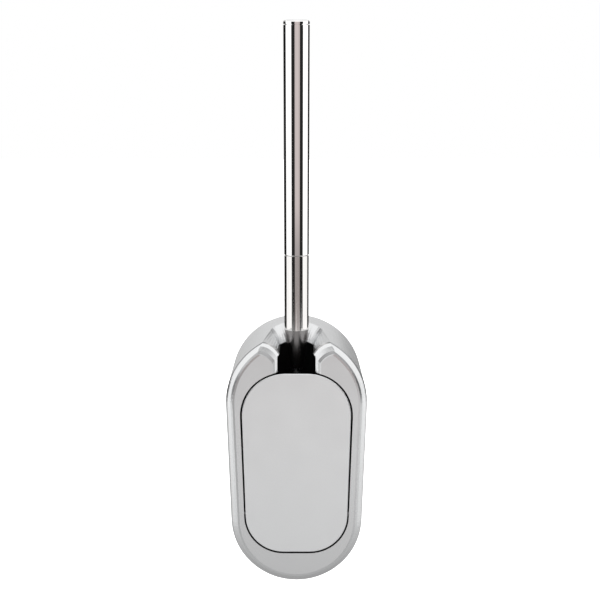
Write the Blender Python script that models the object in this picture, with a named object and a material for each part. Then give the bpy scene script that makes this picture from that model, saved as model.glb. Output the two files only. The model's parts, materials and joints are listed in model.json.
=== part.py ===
"""Wall-hung toilet brush holder whose front panel tilts out with the bin behind it.

The wall is the plane y = 0, the front faces -Y and +Z is up. The origin is on the back face of
the wall bracket. Every number below is in millimetres; new_object() turns them into metres.
"""

from math import asin, cos, degrees, pi, radians, sin, sqrt

import bmesh
import bpy
from mathutils import Vector

MM = 0.001
GAP = 0.3                      # clearance between pieces that rest on each other

# Housing: a deep pill, wider at the top, drawn as two circles joined by their common tangents
FRONT_Y = -88.0                # plane of the front face
REAR_Y = -0.5                  # rear rim of the housing, just clear of the wall
CROWN_Z = 90.0                 # highest point of the housing
TOP_R = 56.0
BOTTOM_R = 52.5
ARC_DISTANCE = 95.9            # between the centres of the two end arcs
REAR_DRAFT = 1.7               # how much smaller the outline is at the wall, all round
WALL = 2.5
FACE_WALL = 3.0                # thickness of the front face
EDGE_R = 7.1                   # rounding between the front face and the sides
INNER_EDGE_R = 4.5
TOP_CENTRE_Z = CROWN_Z - TOP_R
BOTTOM_CENTRE_Z = TOP_CENTRE_Z - ARC_DISTANCE

# Front panel: four corner circles joined by tangents, flush in its opening
PANEL_TOP_Z = 58.7
PANEL_BOTTOM_Z = -88.5
PANEL_TOP_R = 34.0
PANEL_BOTTOM_R = 30.4
PANEL_TOP_HALF = 43.2
PANEL_BOTTOM_HALF = 40.8
PANEL_THICK = 2.4
PANEL_EDGE_R = 0.7
PANEL_GAP = 1.05               # round the lower corners
PANEL_TOP_GAP = 1.35           # round the upper corners
PANEL_BACK_Y = FRONT_Y + PANEL_THICK

# Slot for the handle: a U in plan, open to the front, flared where it meets the outside
HANDLE_Y = -50.0
SLOT_HALF = 13.4
SLOT_BOTTOM_Z = 45.0
SLOT_FACE_R = 7.0              # rounding between the slot's sides and the front face
FLARE_OUT = 8.0                # how far the flare widens the slot
FLARE_SPREAD = 5.0             # and how much more at the front face
FLARE_DEEP = 14.5              # how far down the flare reaches
FLARE_ROUND = 0.3              # 1 for a quarter circle, 0 for a plain chamfer
FLARE_STEPS = 7
CUT_OVER = 2.0                 # how far a cutting tool stands out of the surface it cuts
COLLAR_WALL = 2.6
COLLAR_BOTTOM_Z = CROWN_Z - 17.5

# Hinge of the bin: an X axis close behind the panel
HINGE_Y = FRONT_Y + 7.5
HINGE_Z = PANEL_BOTTOM_Z + 30.0
PIN_R = 1.6
BUSH_R = 3.0
LUG_R = 4.4
BIN_LUG_X = (36.4, 40.6)
SHELL_LUG_X = (42.2, 50.5)     # ends inside the housing's side wall
PIN_X = (34.6, 47.5)
PIN_HEAD_R = 2.8
PIN_HEAD = 1.2

# Bin: a cup with rounded corners on a flange behind the panel
CUP_HALF_WIDTH = 36.0
CUP_FRONT_Y = -84.5
CUP_REAR_Y = -15.5
CUP_CORNER_R = 29.0
CUP_WALL = 2.0
CUP_BOTTOM_Z = -86.0
CUP_RIM_Z = -14.0
CUP_CENTRE_Y = (CUP_FRONT_Y + CUP_REAR_Y) / 2
FLANGE_Y = (-85.3, -83.3)
FLANGE_HALF = 38.0
FLANGE_Z = (-66.0, 36.0)
PANEL_SCREWS = ((-26.0, 26.0), (26.0, 26.0), (-33.0, -36.0), (33.0, -36.0))
STUD_R = 2.7
RIVET_R = 1.6
TAB_HALF = 9.0
TAB_TOP_Z = 6.0
KEEPER_Z = -3.0
KEEPER_THICK = 0.6

# Rear cover and bracket
COVER_Y = (-10.5, -8.2)
COVER_WINDOW = ((-13.0, 13.5), (13.0, 24.8))
BOSS_R = 4.3
SCREW_ROOM = 3.6               # from a boss's centre to the housing wall
BOSS_FRONT_Y = -30.0
SCREW_R = 1.3                  # of the small plastic screws
BRACKET_HALF = 20.0
BRACKET_Z = (-102.0, 48.0)
BRACKET_THICK = 2.0
LOCK_Y = -5.0
LOCK_SCREW_R = 1.6
LOCK_HEAD_Z = -115.4

# Brush: two conical tubes, a cone into the slot, a stem and a round head
HANDLE_TOP_Z = 331.0
CAP_SEAM_Z = 327.7
HANDLE_SEAM_Z = 147.4
GRIP_TOP_R = 10.4
GRIP_SEAM_R = 9.95
SLEEVE_SEAM_R = 9.88
SLEEVE_CONE_R = 9.8
CONE_TOP_Z = 87.0
CONE_BOTTOM_Z = 55.0
CONE_END_R = 4.9
TUBE_WALL = 1.0
COUPLING_HALF = 18.0           # how far the coupling reaches into each tube
ROD_R = 3.4
ROD_BOTTOM_Z = -3.0
HEAD_R = 29.0
HEAD_Z = (-79.0, -8.0)
CORE_R = 5.5


# ---------------------------------------------------------------- mesh helpers

def clear_scene():
    for obj in list(bpy.data.objects):
        bpy.data.objects.remove(obj, do_unlink=True)


def material(name, colour, metallic, roughness):
    made = bpy.data.materials.new(name)
    made.use_nodes = True
    shader = made.node_tree.nodes["Principled BSDF"]
    shader.inputs["Base Color"].default_value = (*colour, 1.0)
    shader.inputs["Metallic"].default_value = metallic
    shader.inputs["Roughness"].default_value = roughness
    return made


def new_object(name, bm):
    """Turn a bmesh in millimetres into an object in metres, with its faces pointing out."""
    bmesh.ops.recalc_face_normals(bm, faces=bm.faces)
    bmesh.ops.scale(bm, vec=(MM, MM, MM), verts=bm.verts)
    mesh = bpy.data.meshes.new(name)
    bm.to_mesh(mesh)
    bm.free()
    obj = bpy.data.objects.new(name, mesh)
    bpy.context.scene.collection.objects.link(obj)
    return obj


def loft(name, rings):
    """Skin rings of equal length and fill the two end rings."""
    bm = bmesh.new()
    loops = [[bm.verts.new(point) for point in ring] for ring in rings]
    count = len(loops[0])
    for low, high in zip(loops, loops[1:]):
        for i in range(count):
            j = (i + 1) % count
            bm.faces.new((low[i], low[j], high[j], high[i]))
    bm.faces.new(loops[0])
    bm.faces.new(loops[-1])
    return new_object(name, bm)


def turned(name, profile, centre, axis="z", segments=32):
    """Turn a closed (radius, height) profile about an axis through centre.

    Points on the axis (radius 0) become one vertex, so a profile that starts and ends there is
    a solid, and a profile that never touches it is a ring.
    """
    bm = bmesh.new()
    rows = []
    for radius, height in profile:
        count = segments if radius > 0 else 1
        row = []
        for i in range(count):
            angle = 2 * pi * i / segments
            across, up = radius * cos(angle), radius * sin(angle)
            offset = {"x": (height, across, up), "y": (across, height, up), "z": (across, up, height)}
            row.append(bm.verts.new(Vector(centre) + Vector(offset[axis])))
        rows.append(row)
    hollow = all(radius > 0 for radius, _ in profile)
    pairs = list(zip(rows, rows[1:])) + ([(rows[-1], rows[0])] if hollow else [])
    for low, high in pairs:
        for i in range(segments):
            j = (i + 1) % segments
            corners = [low[i % len(low)], low[j % len(low)], high[j % len(high)], high[i % len(high)]]
            face = list(dict.fromkeys(corners))
            if len(face) > 2:
                bm.faces.new(face)
    return new_object(name, bm)


def bore(axis, radius, start, end, centre, segments=16):
    """A plain cylinder along an axis, to cut a hole with or to join on as a boss."""
    return turned("bore", [(0, start), (radius, start), (radius, end), (0, end)], centre, axis, segments)


def prism(name, outline, low, high, axis="y"):
    """Extrude a flat outline along an axis, from low to high."""
    def place(point, level):
        u, v = point
        return {"x": (level, u, v), "y": (u, level, v), "z": (u, v, level)}[axis]
    return loft(name, [[place(point, level) for point in outline] for level in (low, high)])


def box(name, low, high, edge=0.0):
    """A block between two corners, its edges rounded if asked."""
    bm = bmesh.new()
    bmesh.ops.create_cube(bm, size=1.0)
    size = Vector(high) - Vector(low)
    middle = (Vector(high) + Vector(low)) / 2
    bmesh.ops.scale(bm, vec=size, verts=bm.verts)
    bmesh.ops.translate(bm, vec=middle, verts=bm.verts)
    if edge > 0:
        bmesh.ops.bevel(bm, geom=bm.edges[:], offset=edge, segments=2, profile=0.5, affect="EDGES")
    return new_object(name, bm)


def combine(target, operation, *tools):
    """Apply one exact Boolean per tool to target, and remove the tools."""
    for tool in tools:
        modifier = target.modifiers.new(operation.lower(), "BOOLEAN")
        modifier.operation = operation
        modifier.solver = "EXACT"
        modifier.object = tool
        graph = bpy.context.evaluated_depsgraph_get()
        result = bpy.data.meshes.new_from_object(target.evaluated_get(graph))
        target.modifiers.clear()
        target.data = result
        bpy.data.objects.remove(tool, do_unlink=True)
    return target


def cut(target, *tools):
    return combine(target, "DIFFERENCE", *tools)


def join(target, *tools):
    return combine(target, "UNION", *tools)


def finish(obj, name, look, sharp=35.0):
    """Name the piece, give it its material and smooth its round faces."""
    obj.name = name
    obj.data.name = name
    obj.data.materials.clear()
    obj.data.materials.append(look)
    obj.data.shade_smooth()
    obj.data.set_sharp_from_angle(angle=radians(sharp))
    return obj


# ---------------------------------------------------------------- outlines

def arc(centre, radius, start, end, count):
    """Points on a circle from start to end, in degrees, both ends included."""
    step = (end - start) / (count - 1)
    angles = [radians(start + step * i) for i in range(count)]
    return [(centre[0] + radius * cos(a), centre[1] + radius * sin(a)) for a in angles]


def housing_outline(inset):
    """The pill in the XZ plane, drawn inwards by inset."""
    tilt = degrees(asin((TOP_R - BOTTOM_R) / ARC_DISTANCE))
    top = arc((0, TOP_CENTRE_Z), TOP_R - inset, -tilt, 180 + tilt, 53)
    bottom = arc((0, BOTTOM_CENTRE_Z), BOTTOM_R - inset, 180 + tilt, 360 - tilt, 45)
    return top + bottom


def panel_outline(grow_bottom, grow_top):
    """The panel in the XZ plane, drawn outwards at its lower and upper corners."""
    top_x, bottom_x = PANEL_TOP_HALF - PANEL_TOP_R, PANEL_BOTTOM_HALF - PANEL_BOTTOM_R
    top_z, bottom_z = PANEL_TOP_Z - PANEL_TOP_R, PANEL_BOTTOM_Z + PANEL_BOTTOM_R
    tilt = degrees((PANEL_TOP_HALF - PANEL_BOTTOM_HALF) / (top_z - bottom_z))
    top_r, bottom_r = PANEL_TOP_R + grow_top, PANEL_BOTTOM_R + grow_bottom
    return (arc((top_x, top_z), top_r, -tilt, 90, 17)
            + arc((-top_x, top_z), top_r, 90, 180 + tilt, 17)
            + arc((-bottom_x, bottom_z), bottom_r, 180 + tilt, 270, 15)
            + arc((bottom_x, bottom_z), bottom_r, 270, 360 - tilt, 15))


def rounded_rectangle(half_width, half_height, radius, per_corner=6, centre=(0.0, 0.0)):
    x, y = half_width - radius, half_height - radius
    points = []
    for i, (sx, sy) in enumerate(((1, 1), (-1, 1), (-1, -1), (1, -1))):
        corner = (centre[0] + sx * x, centre[1] + sy * y)
        points += arc(corner, radius, 90 * i, 90 * (i + 1), per_corner)
    return points


def draft_at(y):
    """How much smaller the housing is at depth y than at its front."""
    return REAR_DRAFT * (y - FRONT_Y) / (REAR_Y - FRONT_Y)


def top_surface_z(x, y):
    """Height of the housing's outside above a point in plan, with the front edge's rounding."""
    inside = max(y - FRONT_Y, 0.5)
    inset = draft_at(y) if y > FRONT_Y else 0.0
    if inside < EDGE_R:
        inset += EDGE_R - sqrt(EDGE_R ** 2 - (EDGE_R - inside) ** 2)
    radius = TOP_R - inset
    return TOP_CENTRE_Z + sqrt(radius ** 2 - min(abs(x), radius) ** 2)


def slot_plan(half, spread=0.0):
    """The U of the handle slot in plan, from the front, round the handle and back to the front."""
    front = half + spread
    side = [(front + SLOT_FACE_R * (1 - cos(radians(a))), FRONT_Y + SLOT_FACE_R * (1 - sin(radians(a))))
            for a in (76, 60, 40, 20, 0)]
    right = [(front + SLOT_FACE_R, FRONT_Y - 12), (front + SLOT_FACE_R, FRONT_Y - 0.6)] + side
    back = arc((0, HANDLE_Y), half, 0, 180, 23)
    left = [(-x, y) for x, y in reversed(right)]
    return right + back + left


def flare_step(share):
    """How wide and how high the flare is, as fractions, at a share of the way up its profile."""
    turn = share * pi / 2
    wide = FLARE_ROUND * (1 - cos(turn)) + (1 - FLARE_ROUND) * share
    high = FLARE_ROUND * sin(turn) + (1 - FLARE_ROUND) * share
    return wide, high


def slot_tool(name, base_half, bottom_z):
    """The solid that the slot and its flare remove, or the collar round it."""
    rings = [[(x, y, bottom_z) for x, y in slot_plan(base_half)]]
    for step in range(FLARE_STEPS + 1):
        wide, high = flare_step(step / FLARE_STEPS)
        plan = slot_plan(base_half + FLARE_OUT * wide, FLARE_SPREAD * wide)
        rings.append([(x, y, top_surface_z(x, y) - FLARE_DEEP * (1 - high)) for x, y in plan])
    plan = slot_plan(base_half + FLARE_OUT + CUT_OVER, FLARE_SPREAD)
    rings.append([(x, y, top_surface_z(x, y) + CUT_OVER) for x, y in plan])
    rings.append([(x, y, CROWN_Z + CUT_OVER) for x, y in plan])
    return loft(name, rings)


# ---------------------------------------------------------------- housing

def edge_rings(front_y, base_inset, radius, steps):
    """Rings of (y, inset) round a front edge, from the side wall to the flat face."""
    turns = [90 * i / steps for i in range(steps + 1)]
    return [(front_y + radius * (1 - sin(radians(a))), base_inset + radius * (1 - cos(radians(a))))
            for a in turns]


def housing_solid(name, rear_y, wall, front_y, radius, steps):
    """The filled pill between rear_y and front_y, drawn inwards by wall."""
    stations = [(rear_y, draft_at(rear_y) + wall)]
    stations += [(y, inset + draft_at(y)) for y, inset in edge_rings(front_y, wall, radius, steps)]
    return loft(name, [[(x, y, z) for x, z in housing_outline(inset)] for y, inset in stations])


def boss_places():
    """Centres of the four screw bosses, on the inner side of the housing wall."""
    reach_top = TOP_R - WALL - REAR_DRAFT - SCREW_ROOM
    reach_bottom = BOTTOM_R - WALL - REAR_DRAFT - SCREW_ROOM
    slope = sqrt(0.5)
    for side in (-1, 1):
        yield side * reach_top * slope, TOP_CENTRE_Z + reach_top * slope
        yield side * reach_bottom * slope, BOTTOM_CENTRE_Z - reach_bottom * slope


def build_housing_shell(look):
    shell = housing_solid("shell", REAR_Y, 0.0, FRONT_Y, EDGE_R, 7)
    cavity = housing_solid("cavity", REAR_Y + 5, WALL, FRONT_Y + FACE_WALL, INNER_EDGE_R, 3)
    cut(cavity, slot_tool("collar", SLOT_HALF + COLLAR_WALL, COLLAR_BOTTOM_Z))
    cut(shell, cavity)
    outline = panel_outline(PANEL_GAP, PANEL_TOP_GAP)
    cut(shell, prism("opening", outline, FRONT_Y - 5, FRONT_Y + FACE_WALL + 3))
    cut(shell, slot_tool("slot", SLOT_HALF, SLOT_BOTTOM_Z))
    for x, z in boss_places():
        join(shell, bore("y", BOSS_R, BOSS_FRONT_Y, COVER_Y[0] - GAP, (x, 0, z), 20))
        cut(shell, bore("y", SCREW_R + GAP, BOSS_FRONT_Y + 7, 0, (x, 0, z), 12))
    for side in (-1, 1):
        near, far = sorted((side * SHELL_LUG_X[0], side * SHELL_LUG_X[1]))
        root_y = FRONT_Y + FACE_WALL - 0.5
        join(shell, box("lug", (near, root_y, HINGE_Z - LUG_R), (far, HINGE_Y + LUG_R, HINGE_Z + LUG_R)))
        cut(shell, bore("x", PIN_R + GAP, side * PIN_X[0], side * (PIN_X[1] + 1), (0, HINGE_Y, HINGE_Z)))
    cut(shell, bore("z", LOCK_SCREW_R + 0.7, -125, -100, (0, LOCK_Y, 0)))
    return finish(shell, "housing_shell", look)


def build_rear_cover(look):
    inset = WALL + draft_at(COVER_Y[1]) + GAP + 0.1
    cover = prism("cover", housing_outline(inset), *COVER_Y)
    (x0, z0), (x1, z1) = COVER_WINDOW
    cut(cover, box("window", (x0, -20, z0), (x1, 5, z1)))
    for x, z in boss_places():
        cut(cover, bore("y", SCREW_R + 2 * GAP, COVER_Y[0] - 5, 0, (x, 0, z)))
    recess = prism("recess", rounded_rectangle(20, 46, 6, 4, (0, -36)), COVER_Y[0] + 0.9, 0)
    cut(cover, recess)
    return finish(cover, "rear_cover", look)


def build_bracket(look):
    half_height = (BRACKET_Z[1] - BRACKET_Z[0]) / 2
    outline = rounded_rectangle(BRACKET_HALF, half_height, 7, 5, (0, sum(BRACKET_Z) / 2))
    plate = prism("plate", outline, -BRACKET_THICK, 0)
    for z in (38.0, -56.0):
        slot = [(x, z + y) for x, y in rounded_rectangle(5.0, 2.6, 2.59, 6)]
        cut(plate, prism("slot", slot, -8, 5))
    neck = box("neck", (-10, -12.9, 22.0), (10, -1.0, 24.5))
    lip = box("lip", (-10, -12.9, 22.0), (10, -10.8, 32.0))
    foot = box("foot", (-8, -7.9, -102.0), (8, -1.0, -99.6))
    join(plate, neck, lip, foot)
    cut(plate, bore("z", LOCK_SCREW_R + GAP, -110, -90, (0, LOCK_Y, 0)))
    return finish(plate, "wall_bracket", look)


def screw(name, head_r, head_h, shank_r, length, look, centre, axis, sign):
    """A domed screw with a hexagonal recess; its shank points along sign times axis."""
    dome = [(0, 0), (head_r * 0.75, 0), (head_r, head_h * 0.45), (head_r, head_h)]
    shank = [(shank_r, head_h), (shank_r, head_h + length - 0.8), (shank_r * 0.5, head_h + length),
             (0, head_h + length)]
    body = turned(name, [(r, sign * h) for r, h in dome + shank], centre, axis, 20)
    socket_r = head_r * 0.45
    socket = [(0, -1), (socket_r, -1), (socket_r, head_h * 0.6), (0, head_h * 0.6)]
    cut(body, turned("socket", [(r, sign * h) for r, h in socket], centre, axis, 6))
    return finish(body, name, look)


def build_fixings(steel):
    """Screws of the rear cover and the lock screw under the housing."""
    made = []
    for i, (x, z) in enumerate(boss_places()):
        made.append(screw(f"rear_cover_screw_{i + 1}", 3.2, 1.8, SCREW_R, 13.0, steel,
                          (x, COVER_Y[1] + GAP + 1.8, z), "y", -1))
    made.append(screw("lock_screw", 3.4, 2.0, LOCK_SCREW_R, 14.5, steel, (0, LOCK_Y, LOCK_HEAD_Z), "z", 1))
    return made


def build_hinge_pins(steel):
    made = []
    for side, word in ((-1, "left"), (1, "right")):
        inner, outer = PIN_X
        profile = [(0, inner), (PIN_HEAD_R, inner), (PIN_HEAD_R, inner + PIN_HEAD),
                   (PIN_R, inner + PIN_HEAD), (PIN_R, outer - 0.5), (PIN_R - 0.5, outer), (0, outer)]
        pin = turned("pin", [(r, side * h) for r, h in profile], (0, HINGE_Y, HINGE_Z), "x", 24)
        made.append(finish(pin, f"hinge_pin_{word}", steel))
    return made


def build_stops(rubber, magnet):
    """Rubber pads for the open and closed ends of the tilt, and the magnet of the catch."""
    made = []
    for side, word in ((-1, "left"), (1, "right")):
        x0, x1 = sorted((side * 43.4, side * 48.4))
        face = FRONT_Y + FACE_WALL + GAP
        made.append(finish(box("pad", (x0, face, -11.0), (x1, face + 1.1, -2.0), 0.3),
                           f"open_stop_pad_{word}", rubber))
    rest = [(0, 0), (3.2, 0), (4.5, -1.2), (4.5, -4.4), (0, -4.4)]
    rest = [(r, COVER_Y[0] - GAP + h) for r, h in rest]
    made.append(finish(turned("rest", rest, (0, 0, -30.0), "y", 24), "closed_stop_pad", rubber))
    disc = [(0, 0), (4.8, 0), (5.3, -0.5), (5.3, -2.9), (4.8, -3.4), (0, -3.4)]
    disc = [(r, COVER_Y[0] - GAP + h) for r, h in disc]
    made.append(finish(turned("disc", disc, (0, 0, KEEPER_Z), "y", 28), "catch_magnet", magnet))
    return made


# ---------------------------------------------------------------- bin

def build_front_panel(look):
    rings = []
    for y, inset in edge_rings(FRONT_Y, 0.0, PANEL_EDGE_R, 3):
        rings.append([(x, y, z) for x, z in panel_outline(-inset, -inset)])
    rings.insert(0, [(x, PANEL_BACK_Y, z) for x, z in panel_outline(0.0, 0.0)])
    panel = loft("panel", rings)
    for x, z in PANEL_SCREWS:
        join(panel, bore("y", STUD_R, PANEL_BACK_Y - 1, FLANGE_Y[1] - 0.1, (x, 0, z)))
        cut(panel, bore("y", SCREW_R + GAP, PANEL_BACK_Y - 1.3, FLANGE_Y[1] + 5, (x, 0, z), 12))
    return finish(panel, "front_panel", look)


def cup_ring(z, inset):
    depth = (CUP_REAR_Y - CUP_FRONT_Y) / 2
    outline = rounded_rectangle(CUP_HALF_WIDTH - inset, depth - inset, CUP_CORNER_R - inset * 0.8, 9,
                                (0, CUP_CENTRE_Y))
    return [(x, y, z) for x, y in outline]


def build_bin_cup(look):
    """The cup, its flange behind the panel, hinge lugs, stop ears and the catch's tab."""
    low, high = CUP_BOTTOM_Z, CUP_RIM_Z
    outside = ((low, 8.5), (low + 2, 4.5), (low + 6, 2.2), (high, 0))
    hollow = ((low + 2.5, 10), (low + 4.5, 6.5), (low + 8.5, 4.2), (high, CUP_WALL), (high + 3, CUP_WALL))
    cup = loft("cup", [cup_ring(z, inset) for z, inset in outside])
    half_height = (FLANGE_Z[1] - FLANGE_Z[0]) / 2
    flange = rounded_rectangle(FLANGE_HALF, half_height, 12, 5, (0, sum(FLANGE_Z) / 2))
    join(cup, prism("flange", flange, *FLANGE_Y))
    join(cup, box("tab", (-TAB_HALF, CUP_REAR_Y, high - 12), (TAB_HALF, CUP_REAR_Y - CUP_WALL, TAB_TOP_Z)))
    for side in (-1, 1):
        x0, x1 = sorted((side * (CUP_HALF_WIDTH - 2.5), side * 47.0))
        join(cup, box("ear", (x0, HINGE_Y + 27.9, high - 5.0), (x1, HINGE_Y + 34.5, high)))
        x0, x1 = sorted((side * BIN_LUG_X[0], side * BIN_LUG_X[1]))
        lug = [(HINGE_Y - LUG_R, HINGE_Z + LUG_R), (HINGE_Y - LUG_R, HINGE_Z - LUG_R)]
        lug += arc((HINGE_Y, HINGE_Z), LUG_R, -60, 60, 7)
        join(cup, prism("lug", lug, x0, x1, "x"))
    cut(cup, loft("hollow", [cup_ring(z, inset) for z, inset in hollow]))
    for side in (-1, 1):
        cut(cup, bore("x", BUSH_R + GAP, side * 34, side * 44, (0, HINGE_Y, HINGE_Z), 20))
    for x, z in PANEL_SCREWS:
        cut(cup, bore("y", STUD_R + GAP, -90, -80, (x, 0, z)))
    cut(cup, bore("y", RIVET_R + GAP, -30, -10, (0, 0, KEEPER_Z)))
    return finish(cup, "bin_cup", look)


def build_bin_fittings(steel, bush_look, insert_look):
    made = []
    for i, (x, z) in enumerate(PANEL_SCREWS):
        made.append(screw(f"panel_screw_{i + 1}", 3.8, 1.7, SCREW_R, 3.1, steel,
                          (x, FLANGE_Y[1] + GAP + 1.7, z), "y", -1))
    for side, word in ((-1, "left"), (1, "right")):
        x0, x1 = BIN_LUG_X
        ring = [(PIN_R + GAP, x0 + 0.2), (BUSH_R, x0 + 0.2), (BUSH_R, x1 - 0.2), (PIN_R + GAP, x1 - 0.2)]
        bush = turned("bush", [(r, side * h) for r, h in ring], (0, HINGE_Y, HINGE_Z), "x", 20)
        made.append(finish(bush, f"hinge_bush_{word}", bush_look))
    rear = CUP_REAR_Y + GAP
    keeper = prism("keeper", rounded_rectangle(7.5, 6.5, 2, 3, (0, KEEPER_Z)), rear, rear + KEEPER_THICK)
    cut(keeper, bore("y", RIVET_R + GAP, -30, -10, (0, 0, KEEPER_Z)))
    made.append(finish(keeper, "keeper_plate", steel))
    pin = [(0, -2.3), (3.2, -2.3), (3.2, -0.9), (RIVET_R, -0.9), (RIVET_R, 1.9), (0, 1.9)]
    front = CUP_REAR_Y - CUP_WALL - GAP + 0.9
    rivet = turned("rivet", [(r, front + h) for r, h in pin], (0, 0, KEEPER_Z), "y", 20)
    made.append(finish(rivet, "keeper_rivet", steel))
    made.append(build_drip_insert(insert_look))
    return made


def build_drip_insert(look):
    """A loose ribbed mat on the cup's floor that keeps the bristles off the water."""
    floor = CUP_BOTTOM_Z + 2.8
    mat = prism("mat", rounded_rectangle(24, 23, 19, 7, (0, CUP_CENTRE_Y)), floor, floor + 1.4, "z")
    for i in range(-3, 4):
        x, reach = i * 6, 20 - 1.2 * i * i
        join(mat, box("rib", (x - 0.8, CUP_CENTRE_Y - reach, floor + 0.8),
                      (x + 0.8, CUP_CENTRE_Y + reach, floor + 2.6)))
    return finish(mat, "drip_insert", look)


# ---------------------------------------------------------------- brush

def build_handle(chrome, brushed, steel):
    """Grip tube and its end cap, the lower sleeve with its cone, the coupling and the core rod."""
    made = []
    wall = TUBE_WALL
    grip = [(GRIP_SEAM_R - 0.35, HANDLE_SEAM_Z + 0.2), (GRIP_SEAM_R, HANDLE_SEAM_Z + 0.5),
            (GRIP_TOP_R, CAP_SEAM_Z - 0.5), (GRIP_TOP_R - 0.3, CAP_SEAM_Z - 0.2),
            (GRIP_TOP_R - wall, CAP_SEAM_Z - 0.2), (GRIP_SEAM_R - wall, HANDLE_SEAM_Z + 0.2)]
    made.append(finish(turned("grip", grip, (0, HANDLE_Y, 0), "z", 48), "handle_grip_tube", chrome))
    plug_r = GRIP_TOP_R - wall - GAP - 0.1
    cap = [(0, CAP_SEAM_Z - 12), (plug_r - 0.6, CAP_SEAM_Z - 12), (plug_r, CAP_SEAM_Z - 11),
           (plug_r, CAP_SEAM_Z + 0.1), (GRIP_TOP_R - 0.3, CAP_SEAM_Z + 0.1), (GRIP_TOP_R, CAP_SEAM_Z + 0.4),
           (GRIP_TOP_R, HANDLE_TOP_Z - 1.2), (GRIP_TOP_R - 0.4, HANDLE_TOP_Z - 0.4),
           (GRIP_TOP_R - 1.2, HANDLE_TOP_Z), (0, HANDLE_TOP_Z)]
    made.append(finish(turned("cap", cap, (0, HANDLE_Y, 0), "z", 48), "handle_end_cap", chrome))
    sleeve = [(CONE_END_R, CONE_BOTTOM_Z), (SLEEVE_CONE_R, CONE_TOP_Z),
              (SLEEVE_SEAM_R, HANDLE_SEAM_Z - 0.5),
              (SLEEVE_SEAM_R - 0.35, HANDLE_SEAM_Z - 0.2), (SLEEVE_SEAM_R - wall, HANDLE_SEAM_Z - 0.2),
              (SLEEVE_CONE_R - wall, CONE_TOP_Z + 1), (ROD_R + GAP, CONE_BOTTOM_Z + 4),
              (ROD_R + GAP, CONE_BOTTOM_Z)]
    sleeve = turned("sleeve", sleeve, (0, HANDLE_Y, 0), "z", 48)
    made.append(finish(sleeve, "handle_lower_sleeve", brushed))
    outer = SLEEVE_SEAM_R - wall - GAP - 0.1
    low, high = HANDLE_SEAM_Z - COUPLING_HALF, HANDLE_SEAM_Z + COUPLING_HALF
    plug = [(ROD_R + GAP, low), (outer - 0.6, low), (outer, low + 1),
            (outer, high - 1), (outer - 0.6, high), (ROD_R + GAP, high)]
    made.append(finish(turned("plug", plug, (0, HANDLE_Y, 0), "z", 28), "handle_coupling", steel))
    top = high + 8.5
    rod = [(0, ROD_BOTTOM_Z), (ROD_R, ROD_BOTTOM_Z), (ROD_R, top - 1), (ROD_R - 1, top), (0, top)]
    made.append(finish(turned("rod", rod, (0, HANDLE_Y, 0), "z", 24), "handle_core_rod", steel))
    return made


def build_rod_nut(look):
    """The nut that clamps the coupling on the threaded top of the core rod."""
    low = HANDLE_SEAM_Z + COUPLING_HALF + GAP
    ring = [(ROD_R + GAP, low), (6.2, low), (6.2, low + 5), (ROD_R + GAP, low + 5)]
    nut = turned("nut", ring, (0, HANDLE_Y, 0), "z", 24)
    hexagon = [(x, y + HANDLE_Y) for x, y in arc((0, 0), 6.6, 0, 300, 6)]
    combine(nut, "INTERSECT", prism("hexagon", hexagon, low - 1, low + 6, "z"))
    return finish(nut, "rod_nut", look)


def build_brush_head(core_look, bristle_look):
    """Moulded core with its socket and shroud disc, and the bristles as one solid of their shape."""
    low, high = HEAD_Z
    core = [(0, low + 6), (CORE_R - 1.5, low + 6), (CORE_R, low + 8), (CORE_R, high + 0.5),
            (13.0, high + 1.5), (13.0, high + 3.5), (7.0, high + 5.0), (6.2, high + 18),
            (5.2, high + 20), (ROD_R + GAP, high + 20), (ROD_R + GAP, ROD_BOTTOM_Z - GAP),
            (0, ROD_BOTTOM_Z - GAP)]
    made = [finish(turned("core", core, (0, HANDLE_Y, 0), "z", 28), "brush_core", core_look)]
    bore_r = CORE_R + GAP
    bristles = [(0, low), (13, low), (21, low + 3.5), (26, low + 9), (HEAD_R, low + 18),
                (HEAD_R, high - 7), (HEAD_R - 1.5, high - 2), (HEAD_R - 4, high),
                (bore_r, high), (bore_r, low + 5.6), (0, low + 5.6)]
    bristles = turned("bristles", bristles, (0, HANDLE_Y, 0), "z", 40)
    made.append(finish(bristles, "bristle_block", bristle_look))
    return made


# ---------------------------------------------------------------- assembly

def hang(pieces, name, pivot):
    """Parent the pieces of a moving body to an empty on its joint's axis."""
    empty = bpy.data.objects.new(name, None)
    empty.location = Vector(pivot) * MM
    bpy.context.scene.collection.objects.link(empty)
    for piece in pieces:
        piece.parent = empty
        piece.location = piece.location - empty.location
    return empty


def main():
    clear_scene()
    satin = material("satin_silver", (0.66, 0.67, 0.67), 0.85, 0.38)
    chrome = material("polished_chrome", (0.86, 0.86, 0.87), 1.0, 0.05)
    brushed = material("brushed_steel", (0.62, 0.60, 0.59), 1.0, 0.25)
    black = material("black_plastic", (0.015, 0.015, 0.016), 0.0, 0.45)
    zinc = material("zinc_steel", (0.60, 0.61, 0.62), 1.0, 0.38)
    rubber = material("rubber", (0.03, 0.03, 0.03), 0.0, 0.85)
    bronze = material("acetal", (0.82, 0.81, 0.77), 0.0, 0.4)
    bristle = material("bristle_nylon", (0.85, 0.86, 0.87), 0.0, 0.6)
    build_housing_shell(satin)
    build_rear_cover(black)
    build_bracket(zinc)
    build_fixings(zinc)
    build_hinge_pins(zinc)
    build_stops(rubber, zinc)
    bin_pieces = [build_front_panel(satin), build_bin_cup(black)]
    bin_pieces += build_bin_fittings(zinc, bronze, rubber)
    brush_pieces = build_handle(chrome, brushed, zinc) + [build_rod_nut(zinc)]
    brush_pieces += build_brush_head(black, bristle)
    tilt = hang(bin_pieces, "bin_tilt_axis", (0, HINGE_Y, HINGE_Z))
    lift = hang(brush_pieces, "brush_lift_axis", (0, HANDLE_Y, HEAD_Z[0]))
    lift.location -= tilt.location
    lift.parent = tilt


main()
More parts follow.
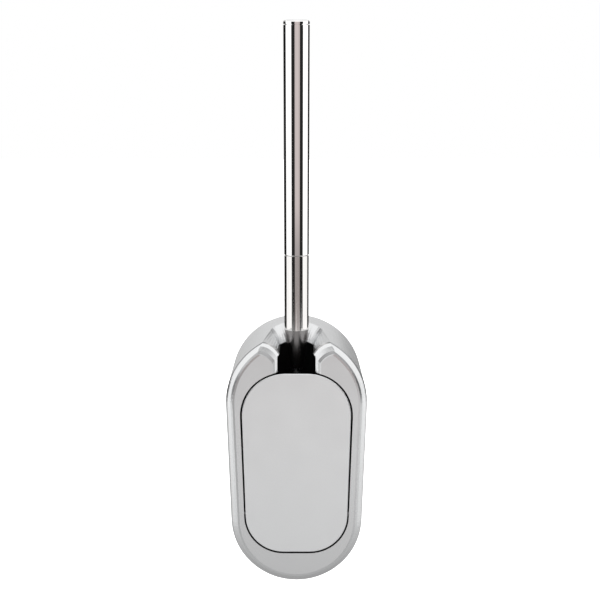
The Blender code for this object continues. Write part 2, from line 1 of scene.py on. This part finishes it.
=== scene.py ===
"""Looks of the wall-hung toilet brush holder: materials, bristles, studio light and camera."""

import json
import random
from math import cos, pi, radians, sin, sqrt

import bmesh
import bpy
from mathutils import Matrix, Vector


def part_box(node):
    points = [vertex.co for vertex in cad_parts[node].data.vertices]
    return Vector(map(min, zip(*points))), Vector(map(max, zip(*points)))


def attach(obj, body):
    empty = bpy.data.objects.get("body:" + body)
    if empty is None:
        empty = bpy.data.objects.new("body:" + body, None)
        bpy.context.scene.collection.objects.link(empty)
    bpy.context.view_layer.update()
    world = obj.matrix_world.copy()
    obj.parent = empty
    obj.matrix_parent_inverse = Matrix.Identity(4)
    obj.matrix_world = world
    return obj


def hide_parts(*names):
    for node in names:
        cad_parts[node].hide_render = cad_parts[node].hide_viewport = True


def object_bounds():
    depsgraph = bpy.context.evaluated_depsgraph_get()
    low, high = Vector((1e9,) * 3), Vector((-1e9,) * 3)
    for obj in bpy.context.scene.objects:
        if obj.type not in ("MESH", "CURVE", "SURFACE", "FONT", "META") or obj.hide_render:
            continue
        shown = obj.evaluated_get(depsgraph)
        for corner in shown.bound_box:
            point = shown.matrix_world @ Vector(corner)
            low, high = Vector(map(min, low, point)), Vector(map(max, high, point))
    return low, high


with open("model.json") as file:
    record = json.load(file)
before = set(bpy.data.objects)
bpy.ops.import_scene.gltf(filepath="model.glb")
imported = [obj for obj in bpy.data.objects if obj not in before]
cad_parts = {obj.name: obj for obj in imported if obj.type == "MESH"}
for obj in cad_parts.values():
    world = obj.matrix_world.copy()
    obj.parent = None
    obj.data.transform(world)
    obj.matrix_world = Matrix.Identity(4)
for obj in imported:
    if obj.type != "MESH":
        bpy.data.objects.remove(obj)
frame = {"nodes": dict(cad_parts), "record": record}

cad_box = [list(corner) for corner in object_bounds()]
nodes = frame["nodes"]
scene = bpy.context.scene

shell_low, shell_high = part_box("housing_shell")
panel_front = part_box("front_panel")[0].y
head_low, head_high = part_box("bristle_block")
sleeve_low, sleeve_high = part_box("handle_lower_sleeve")
HANDLE_AXIS = Vector(((sleeve_low.x + sleeve_high.x) / 2, (sleeve_low.y + sleeve_high.y) / 2, 0))

# Lengths are in metres.

# Camera: a long lens level with the top of the handle, looking down on the holder
LENS_MM = 84.0
SENSOR_MM = 36.0
CAMERA_PITCH = radians(11.0)
CAMERA_AT = (0.0028, -1.1537, 0.325)

# Floor, a plain white sheet that glows a little, so that it stays white under the holder
FLOOR_HALF = 6.0
FLOOR_DROP = 0.22              # from the lowest point of the holder to the floor
FLOOR_WHITE = 0.9
FLOOR_GLOW = 0.85

# Which faces of the housing are lacquered
TOP_R = shell_high.x           # of the upper arc
BOTTOM_R = 0.0525              # of the lower arc
REAR_DRAFT = 0.0017            # the rear edge lies this far inside the front one
SLOT_REACH = 0.0265            # from the middle of the slot to the outside of its flare
FLARE_DEEP = 0.0165
EDGE_ROUND = 0.0066            # depth of the rounding round the front face
FORWARD_LEAN = 0.04            # a face belongs to the front from this much lean towards it
LACQUER_DEEP = 0.0008

CONE_HIGH = 0.032              # height of the cone at the foot of the sleeve

# Brush head: rows of tufts round the core, and rings of them in a dome under its end
CORE_R = 0.0056
HEAD_MARGIN = 0.0004           # the hairs stay this far inside the outline of the head
TOP_MARGIN = 0.0008
HAIR_R = 0.00022
HAIR_TAPER = 0.55              # the tip's radius against the root's
HAIR_LEAN = 0.075              # how far the hairs of a tuft lean apart
HAIR_SHORTEST = 0.93           # against the longest
ROOT_SCATTER = 0.0004
ROWS = 15
ROW_TUFTS = 20
ROW_HAIRS = 9                  # in each tuft
FIRST_ROW_UP = 0.011
ROWS_LESS = 0.015              # the rows take up the height of the head less this
NARROW_HIGH = 0.02             # over this height the lower rows grow shorter
NARROW_BY = 0.12
# Of each ring in the dome: the lean from straight down in degrees, and the number of tufts
DOME_RINGS = ((0, 1), (18, 9), (36, 12), (54, 15), (70, 18))
DOME_HAIRS = 10                # in each tuft
DOME_UP = 0.0095
DOME_ROOT = 0.7                # of the core's radius
DOME_STAGGER = 0.3             # of a tuft's pitch, from ring to ring
DOME_LENGTH = 0.0088
DOME_WIDER = 0.013             # what is added to that at the sides
SEED = 7

# White tent round the holder, as glossy surfaces see it. Each band lists the angle from the
# front of the tent in degrees (180 is behind) and the brightness there.
TENT_TURN = radians(4.6)       # the tent stands a little askew, so the handle's lines aren't even
ROOF = ((0, 0.62), (18, 0.72), (25, 0.45), (33, 0.45), (43, 1.30), (118, 1.30), (130, 0.36),
        (146, 0.36), (157, 0.84), (180, 0.90))
# Soft boxes at both sides, with dark flags in front of them and behind them
FLAGS = ((26, 0.02), (51, 0.02), (56, 1.25), (113, 1.2), (117, 0.01), (158, 0.01), (163, 0.70),
         (180, 0.75))
HIGH_SIDES = ((0, (0.66, 0.58, 0.57)), (21, (0.56, 0.49, 0.48)), *FLAGS)
LOW_SIDES = ((0, (0.43, 0.39, 0.385)), (21, (0.38, 0.34, 0.335)), *FLAGS)
FAR_FLOOR = ((0, 1.34), (18, 1.30), (25, 0.55), (31, 0.55), (41, 1.45), (115, 1.35), (130, 0.35),
             (165, 0.35), (180, 0.8))
NEAR_FLOOR = ((0, 0.62), (18, 0.62), (25, 0.57), (31, 0.57), (41, 0.78), (115, 0.82), (130, 0.45),
              (165, 0.45), (180, 0.6))
UNDER = 0.50                   # straight below
# Where each band goes over into the next, as the height of a ray of length 1
SIDES_TO_ROOF = (0.03, 0.09)
HIGH_TO_LOW = (-0.13, -0.16)
LOW_TO_FAR = (-0.213, -0.226)
FAR_TO_NEAR = (-0.30, -0.385)
NEAR_TO_UNDER = (-0.36, -0.90)
DIFFUSE_LIGHT = 0.8            # what diffuse surfaces get from all sides
BACKDROP = 1.0                 # what the camera sees past the holder


# ---------------------------------------------------------------- materials

METAL = {"Metallic": 1.0}
GLOSS_DRIFT = 0.04             # how uneven the gloss of the lacquer is


class Surface:
    """A Principled material with short calls for the nodes that most of them need."""

    NOISE_RANGE = (0.3, 0.7)   # where nearly all of a noise lies

    def __init__(self, name, fixed=None):
        """fixed holds the inputs of the shader that stay the same all over."""
        self.material = bpy.data.materials.new(name)
        self.material.use_nodes = True
        self.tree = self.material.node_tree
        self.shader = self.tree.nodes["Principled BSDF"]
        for socket, value in (fixed or {}).items():
            self.shader.inputs[socket].default_value = value
        self.place = self.tree.nodes.new("ShaderNodeTexCoord").outputs["Object"]

    def link(self, source, target):
        self.tree.links.new(source, target)

    def noise(self, scale, stretch=(1, 1, 1), detail=3.0):
        """Noise in metres on the surface; stretch multiplies its frequency along X, Y and Z."""
        mapping = self.tree.nodes.new("ShaderNodeMapping")
        mapping.inputs["Scale"].default_value = stretch
        texture = self.tree.nodes.new("ShaderNodeTexNoise")
        texture.inputs["Scale"].default_value = scale
        texture.inputs["Detail"].default_value = detail
        self.link(self.place, mapping.inputs["Vector"])
        self.link(mapping.outputs["Vector"], texture.inputs["Vector"])
        return texture.outputs["Fac"]

    def roughness(self, source, low, high):
        """Drive the roughness between low and high."""
        span = self.tree.nodes.new("ShaderNodeMapRange")
        for key, value in zip(("From Min", "From Max", "To Min", "To Max"),
                              (*self.NOISE_RANGE, low, high)):
            span.inputs[key].default_value = value
        self.link(source, span.inputs["Value"])
        self.link(span.outputs["Result"], self.shader.inputs["Roughness"])

    def tint(self, source, dark, light):
        """Drive the base colour between two colours."""
        mix = self.tree.nodes.new("ShaderNodeMix")
        mix.data_type = "RGBA"
        mix.inputs["A"].default_value = (*dark, 1.0)
        mix.inputs["B"].default_value = (*light, 1.0)
        self.link(source, mix.inputs["Factor"])
        self.link(mix.outputs["Result"], self.shader.inputs["Base Color"])

    def bump(self, source, height, strength):
        """Relief of a height in metres."""
        bump = self.tree.nodes.new("ShaderNodeBump")
        bump.inputs["Distance"].default_value = height
        bump.inputs["Strength"].default_value = strength
        self.link(source, bump.inputs["Height"])
        self.link(bump.outputs["Normal"], self.shader.inputs["Normal"])


def silver_lacquer(name, dark, light, roughness):
    """A fine sparkle in the colour, a faint orange peel and slightly uneven gloss."""
    made = Surface(name, METAL)
    made.tint(made.noise(2600, detail=2.0), dark, light)
    made.roughness(made.noise(60), roughness * (1 - GLOSS_DRIFT), roughness * (1 + GLOSS_DRIFT))
    made.bump(made.noise(900), height=0.000004, strength=0.5)
    return made.material


def chrome():
    made = Surface("polished_chrome", {**METAL, "Base Color": (0.93, 0.925, 0.92, 1.0)})
    made.roughness(made.noise(90), 0.02, 0.045)
    made.bump(made.noise(35, stretch=(1, 1, 0.15)), height=0.00001, strength=0.25)
    return made.material


def drawn_steel():
    """Bright drawn tube with hair lines along its length."""
    made = Surface("drawn_steel", METAL)
    grain = made.noise(2200, stretch=(1, 1, 0.012), detail=2.0)
    made.tint(grain, (0.66, 0.645, 0.63), (0.92, 0.91, 0.895))
    made.roughness(grain, 0.03, 0.10)
    made.bump(grain, height=0.000004, strength=0.4)
    return made.material


def turned_steel_painted_shade():
    """Steel turned on a lathe, with fine rings round it. Its base colour is darkened far below bare
    steel: painted shade for the cone, which sits down in the dark slot.
    """
    made = Surface("turned_steel_painted_shade", METAL)
    rings = made.noise(1500, stretch=(0.05, 0.05, 2), detail=2.0)
    # The dark base colour is painted shade from the slot, not the steel's own colour; the rings
    # only vary it a little.
    made.tint(rings, (0.31, 0.297, 0.293), (0.36, 0.347, 0.343))
    made.roughness(rings, 0.23, 0.25)
    made.bump(rings, height=0.0000003, strength=0.3)
    return made.material


def black_moulding():
    """Black plastic with a fine spark-eroded grain and slight scuffs."""
    made = Surface("black_moulding")
    made.tint(made.noise(140), (0.008, 0.008, 0.009), (0.017, 0.017, 0.018))
    made.roughness(made.noise(420), 0.38, 0.56)
    made.bump(made.noise(3000, detail=1.0), height=0.00002, strength=0.5)
    return made.material


def zinc_plate():
    made = Surface("zinc_plate", METAL)
    made.tint(made.noise(240), (0.50, 0.52, 0.55), (0.70, 0.70, 0.70))
    made.roughness(made.noise(700), 0.24, 0.42)
    made.bump(made.noise(1800), height=0.000008, strength=0.5)
    return made.material


def soft_rubber():
    made = Surface("soft_rubber")
    made.tint(made.noise(300), (0.016, 0.016, 0.017), (0.034, 0.034, 0.035))
    made.roughness(made.noise(900), 0.75, 0.95)
    made.bump(made.noise(2400), height=0.00002, strength=0.6)
    return made.material


def acetal():
    made = Surface("acetal", {"Subsurface Weight": 0.1})
    made.tint(made.noise(300), (0.76, 0.75, 0.71), (0.83, 0.82, 0.79))
    made.roughness(made.noise(900), 0.3, 0.45)
    made.bump(made.noise(2500), height=0.000005, strength=0.4)
    return made.material


def nylon_bristle():
    made = Surface("nylon_bristle")
    made.tint(made.noise(900, stretch=(1, 1, 0.2)), (0.74, 0.76, 0.78), (0.92, 0.93, 0.94))
    made.roughness(made.noise(1500), 0.32, 0.5)
    return made.material


MATERIALS = {
    "satin_silver": silver_lacquer("satin_silver", (0.62, 0.625, 0.63), (0.71, 0.715, 0.72), 0.24),
    "panel_silver": silver_lacquer("panel_silver", (0.785, 0.80, 0.805), (0.875, 0.89, 0.895), 0.3),
    "polished_chrome": chrome(),
    "brushed_steel": drawn_steel(),
    "zinc_steel": zinc_plate(),
    "black_plastic": black_moulding(),
    "rubber": soft_rubber(),
    "acetal": acetal(),
    "bristle_nylon": nylon_bristle(),
}


def dress_nodes():
    """Every CAD node gets the finish of its slot in the record."""
    for entry in frame["record"]["subparts"]:
        mesh = nodes[entry["node"]].data
        mesh.materials.clear()
        mesh.materials.append(MATERIALS[entry["material_slot"]])
        mesh.polygons.foreach_set("material_index", [0] * len(mesh.polygons))


def finish_some_faces(node, material, wanted):
    """The faces of a node that are wanted get a finish of their own."""
    mesh = nodes[node].data
    mesh.materials.append(material)
    for face in mesh.polygons:
        if wanted(face):
            face.material_index = 1


def is_bare_housing(face):
    """The housing is moulded in black and lacquered only outside and in the slot's flare."""
    x, y, z = face.center
    top_z, bottom_z = shell_high.z - TOP_R, shell_low.z + BOTTOM_R       # centres of the two arcs
    down = min(max((top_z - z) / (top_z - bottom_z), 0), 1)
    back = (y - shell_low.y) / (shell_high.y - shell_low.y)
    outline = TOP_R - (TOP_R - BOTTOM_R) * down - REAR_DRAFT * back
    reach = sqrt(x * x + max(z - top_z, bottom_z - z, 0) ** 2)
    on_side = outline - reach < LACQUER_DEEP or y > shell_high.y - LACQUER_DEEP
    on_front = y < shell_low.y + EDGE_ROUND and face.normal.y < -FORWARD_LEAN
    in_flare = abs(x) < SLOT_REACH and z > shell_high.z - FLARE_DEEP
    return not (on_side or on_front or in_flare)


def is_bare_panel(face):
    """The edge and the back of the panel are black moulding behind its lacquered front."""
    return face.center.y > panel_front + LACQUER_DEEP


def is_cone(face):
    """The cone under the sleeve is turned, not drawn. Its darker colour is painted shade for where
    it sits down in the slot.
    """
    return face.center.z < sleeve_low.z + CONE_HIGH


# ---------------------------------------------------------------- bristles

def filament(bm, root, tip):
    """One tapered three-sided nylon hair from root to tip."""
    along = (tip - root).normalized()
    side = along.orthogonal().normalized()
    other = along.cross(side)
    rings = []
    for point, radius in ((root, HAIR_R), (tip, HAIR_R * HAIR_TAPER)):
        ring = []
        for i in range(3):
            angle = 2 * pi * i / 3
            ring.append(bm.verts.new(point + (side * cos(angle) + other * sin(angle)) * radius))
        rings.append(ring)
    for i in range(3):
        j = (i + 1) % 3
        bm.faces.new((rings[0][i], rings[0][j], rings[1][j], rings[1][i]))
    bm.faces.new(rings[0][::-1])
    bm.faces.new(rings[1])


def build_bristles():
    """Rows of tufts set in the core, and a dome of them under its end."""
    rng = random.Random(SEED)
    reach = head_high.x - HEAD_MARGIN
    bottom, top = head_low.z + HEAD_MARGIN, head_high.z - TOP_MARGIN
    bm = bmesh.new()

    def scatter(size):
        return Vector((rng.gauss(0, size), rng.gauss(0, size), rng.gauss(0, size)))

    def tuft(root, way, length, hairs):
        for _ in range(hairs):
            heading = (way + scatter(1) * HAIR_LEAN).normalized()
            tip = root + heading * length * rng.uniform(HAIR_SHORTEST, 1.0)
            flat = Vector((tip.x - HANDLE_AXIS.x, tip.y - HANDLE_AXIS.y, 0))
            if flat.length > reach:
                tip -= flat.normalized() * (flat.length - reach)
            tip.z = min(max(tip.z, bottom), top)
            filament(bm, root + scatter(ROOT_SCATTER), tip)

    for row in range(ROWS):
        z = bottom + FIRST_ROW_UP + (top - bottom - ROWS_LESS) * row / (ROWS - 1)
        low = max(0.0, 1.0 - (z - bottom) / NARROW_HIGH)
        length = (reach - CORE_R) * (1 - NARROW_BY * low * low)
        for i in range(ROW_TUFTS):
            turn = 2 * pi * (i + 0.5 * (row % 2)) / ROW_TUFTS
            way = Vector((cos(turn), sin(turn), 0))
            tuft(HANDLE_AXIS + way * CORE_R + Vector((0, 0, z)), way, length, ROW_HAIRS)

    for ring, (tilt, count) in enumerate(DOME_RINGS):
        lean = radians(tilt)
        length = DOME_LENGTH + DOME_WIDER * sin(lean) ** 2
        for i in range(count):
            turn = 2 * pi * (i + DOME_STAGGER * ring) / count
            way = Vector((sin(lean) * cos(turn), sin(lean) * sin(turn), -cos(lean)))
            out = Vector((way.x, way.y, 0)) * CORE_R * DOME_ROOT
            tuft(HANDLE_AXIS + out + Vector((0, 0, bottom + DOME_UP)), way, length, DOME_HAIRS)

    mesh = bpy.data.meshes.new("brush_bristles")
    bm.to_mesh(mesh)
    bm.free()
    mesh.materials.append(MATERIALS["bristle_nylon"])
    made = bpy.data.objects.new("brush_bristles", mesh)
    scene.collection.objects.link(made)
    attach(made, "brush")
    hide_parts("bristle_block")


# ---------------------------------------------------------------- studio

def build_floor():
    """A plain pale floor, far enough below that only a breath of shadow falls on it."""
    bm = bmesh.new()
    bmesh.ops.create_grid(bm, x_segments=1, y_segments=1, size=FLOOR_HALF)
    mesh = bpy.data.meshes.new("floor")
    bm.to_mesh(mesh)
    bm.free()
    floor = bpy.data.objects.new("floor", mesh)
    floor.location.z = cad_box[0][2] - FLOOR_DROP
    scene.collection.objects.link(floor)
    surface = Surface("floor_white", {
        "Base Color": (FLOOR_WHITE, FLOOR_WHITE, FLOOR_WHITE, 1.0),
        "Roughness": 1.0,
        "Specular IOR Level": 0.0,
        "Emission Color": (1, 1, 1, 1),
        "Emission Strength": FLOOR_GLOW,
    })
    mesh.materials.append(surface.material)
    floor.visible_glossy = False


def build_world():
    """A white tent: a bright roof and floor, soft boxes and dark flags at the sides."""
    world = bpy.data.worlds.new("studio")
    world.use_nodes = True
    scene.world = world
    tree = world.node_tree

    def maths(operation, *values):
        made = tree.nodes.new("ShaderNodeMath")
        made.operation = operation
        for socket, value in zip(made.inputs, values):
            if isinstance(value, float):
                socket.default_value = value
            else:
                tree.links.new(value, socket)
        return made.outputs["Value"]

    ray = tree.nodes.new("ShaderNodeSeparateXYZ")
    direction = tree.nodes.new("ShaderNodeTexCoord").outputs["Generated"]
    tree.links.new(direction, ray.inputs["Vector"])
    ahead = maths("MULTIPLY", ray.outputs["Y"], -cos(TENT_TURN))
    aside = maths("MULTIPLY", ray.outputs["X"], sin(TENT_TURN))
    front = maths("MINIMUM", maths("ADD", ahead, aside), 1.0)
    turn = maths("DIVIDE", maths("ARCCOSINE", front), pi)          # 0 in front, 1 behind

    def band(stops):
        """A colour for each angle from the front of the tent."""
        made = tree.nodes.new("ShaderNodeValToRGB")
        elements = made.color_ramp.elements
        while len(elements) < len(stops):
            elements.new(0.5)
        for element, (angle, light) in zip(elements, stops):
            element.position = angle / 180
            element.color = (*(light if isinstance(light, tuple) else (light, light, light)), 1.0)
        tree.links.new(turn, made.inputs["Fac"])
        return made.outputs["Color"]

    def height(low, high):
        """0 where a ray's height is at low, 1 at high."""
        made = tree.nodes.new("ShaderNodeMapRange")
        made.inputs["From Min"].default_value = low
        made.inputs["From Max"].default_value = high
        tree.links.new(ray.outputs["Z"], made.inputs["Value"])
        return made.outputs["Result"]

    def blend(factor, first, second):
        made = tree.nodes.new("ShaderNodeMix")
        made.data_type = "RGBA"
        tree.links.new(factor, made.inputs["Factor"])
        for socket, value in ((made.inputs["A"], first), (made.inputs["B"], second)):
            if isinstance(value, float):
                socket.default_value = (value, value, value, 1.0)
            else:
                tree.links.new(value, socket)
        return made.outputs["Result"]

    seen = tree.nodes.new("ShaderNodeLightPath")
    light = blend(height(*SIDES_TO_ROOF), band(HIGH_SIDES), band(ROOF))
    light = blend(height(*HIGH_TO_LOW), light, band(LOW_SIDES))
    light = blend(height(*LOW_TO_FAR), light, band(FAR_FLOOR))
    light = blend(height(*FAR_TO_NEAR), light, band(NEAR_FLOOR))
    light = blend(height(*NEAR_TO_UNDER), light, UNDER)
    light = blend(seen.outputs["Is Diffuse Ray"], light, DIFFUSE_LIGHT)
    light = blend(seen.outputs["Is Camera Ray"], light, BACKDROP)
    tree.links.new(light, tree.nodes["Background"].inputs["Color"])


def build_camera():
    camera = bpy.data.objects.new("camera", bpy.data.cameras.new("camera"))
    scene.collection.objects.link(camera)
    camera.data.lens = LENS_MM
    camera.data.sensor_width = SENSOR_MM
    camera.location = CAMERA_AT
    camera.rotation_euler = (pi / 2 - CAMERA_PITCH, 0, 0)
    scene.camera = camera


def main():
    scene.view_settings.view_transform = "Standard"
    build_camera()
    build_world()
    build_floor()
    dress_nodes()
    finish_some_faces("housing_shell", MATERIALS["black_plastic"], is_bare_housing)
    finish_some_faces("front_panel", MATERIALS["black_plastic"], is_bare_panel)
    # The cone gets turned steel whose darkened colour is painted shade.
    finish_some_faces("handle_lower_sleeve", turned_steel_painted_shade(), is_cone)
    build_bristles()


main()
